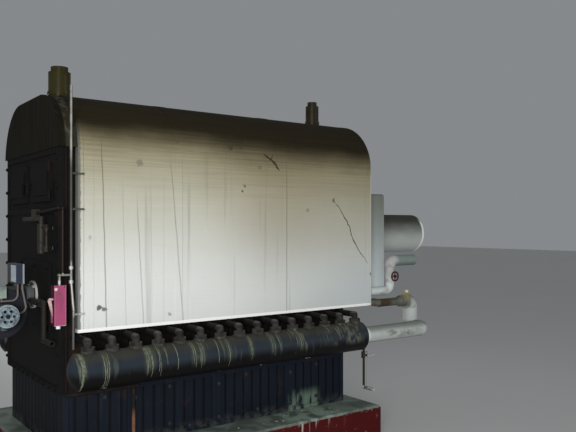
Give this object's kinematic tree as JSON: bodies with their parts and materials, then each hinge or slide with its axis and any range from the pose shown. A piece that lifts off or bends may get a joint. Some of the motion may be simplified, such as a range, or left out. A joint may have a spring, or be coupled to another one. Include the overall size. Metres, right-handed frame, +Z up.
{
  "type": "industrial boiler",
  "caption": "Cast iron sectional heating boiler with an arched white jacket, return headers, gas burner and flue box on a red plinth.",
  "frame": {"origin": "centre of the plinth's underside, where it stands on the floor", "axes": "+X along the boiler from the burner to the flue, +Y to the boiler's left side, +Z up"},
  "size_m": [4.041, 1.777, 2.753],
  "materials": {
    "plinth_paint": "chipped red paint on concrete, dusty top",
    "base_iron": "blue-black painted castings, dusty",
    "section_iron": "bare rusty castings",
    "header_paint": "dark paint with pale drip stains",
    "nipple_iron": "dusty grey fittings",
    "jacket_white": "white painted jacket, yellowed towards the crest",
    "lagging_tan": "brown stained plaster lagging",
    "front_iron": "black castings",
    "burner_paint": "grey painted casings",
    "motor_paint": "pale blue-grey casing",
    "control_paint": "pale casing",
    "actuator_green": "pale green-grey casing",
    "lead_grey": "dusty flexible leads",
    "gas_iron": "brown pipe and cock",
    "column_brass": "dull brass and iron",
    "switch_red": "red painted box",
    "lever_grey": "worn lever",
    "conduit_steel": "galvanized conduit",
    "wheel_red": "dark red handwheel",
    "rusty_pipe": "rusty pipe",
    "riser_lagging": "cream lagging",
    "pipe_lagging": "white painted lagging"
  },
  "bodies": {
    "root": {"plinth": "plinth_paint", "base_side_right": "base_iron", "base_side_left": "base_iron", "base_ends": "base_iron", "section_01": "section_iron", "section_02": "section_iron", "section_03": "section_iron", "section_04": "section_iron", "section_05": "section_iron", "section_06": "section_iron", "section_07": "section_iron", "section_08": "section_iron", "section_09": "section_iron", "section_10": "section_iron", "section_11": "section_iron", "section_12": "section_iron", "section_13": "section_iron", "section_14": "section_iron", "section_15": "section_iron", "nipples_right": "nipple_iron", "nipples_left": "nipple_iron", "return_header_right": "header_paint", "return_header_left": "header_paint", "jacket_front_sheet": "jacket_white", "jacket_middle_sheet": "jacket_white", "jacket_rear_sheet": "jacket_white", "front_lagging": "lagging_tan", "rear_hood": "pipe_lagging", "front_plate": "front_iron", "flue_doors": "front_iron", "burner_plate": "front_iron", "burner": "burner_paint", "burner_motor": "motor_paint", "burner_control": "control_paint", "burner_actuator": "actuator_green", "burner_leads": "lead_grey", "gas_train": "gas_iron", "water_column": "column_brass", "switch_box": "switch_red", "switch_lever": "lever_grey", "conduit": "conduit_steel", "ledge_pipe": "rusty_pipe", "front_steam_riser": "riser_lagging", "rear_steam_riser": "riser_lagging", "smoke_box": "pipe_lagging", "flue_pipe": "pipe_lagging", "return_pipe": "pipe_lagging", "feed_pipe": "pipe_lagging", "feed_handwheel": "wheel_red", "drain_pipe": "nipple_iron"}
  },
  "joints": []
}
